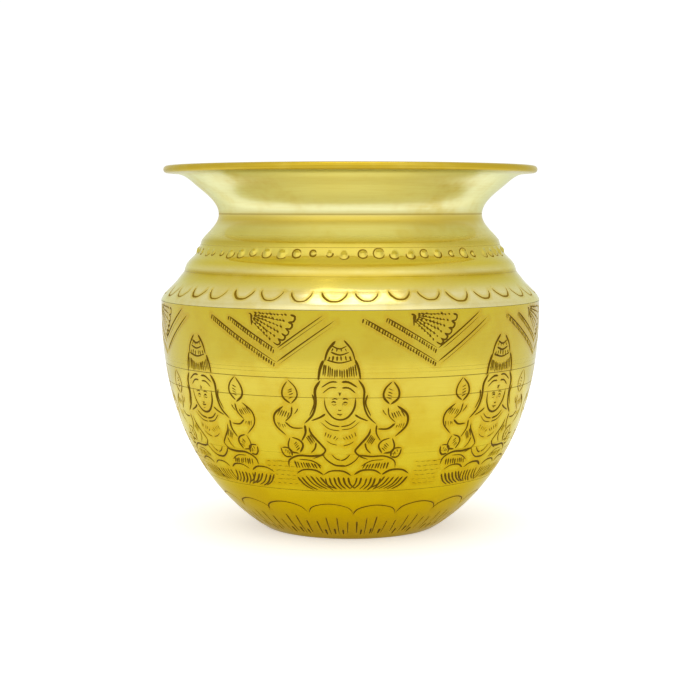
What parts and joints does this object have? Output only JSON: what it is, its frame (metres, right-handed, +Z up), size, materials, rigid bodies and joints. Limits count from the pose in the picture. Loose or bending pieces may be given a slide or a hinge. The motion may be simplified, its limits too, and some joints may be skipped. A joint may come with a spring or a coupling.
{
  "type": "brass kalash pot",
  "caption": "Round-bellied spun brass water pot with stepped shoulder, waisted neck, wide flared mouth with wired edge and dished base.",
  "frame": {"origin": "centre of the flat rest ring under the base", "axes": "+Z up along the axis of revolution, towards the mouth; -Y is the side seen from the front, with one engraved figure near its middle"},
  "size_m": [0.1076, 0.1076, 0.1025],
  "materials": {
    "engraved_brass": "polished, chisel-engraved, dark in the cuts",
    "polished_brass": "mirror polished",
    "drawn_wire": "drawn, unpolished",
    "braze": "as flowed, dull"
  },
  "bodies": {
    "root": {"lower_bowl": "engraved_brass", "upper_shell": "polished_brass", "rim_wire": "drawn_wire", "seam_braze": "braze"}
  },
  "joints": []
}
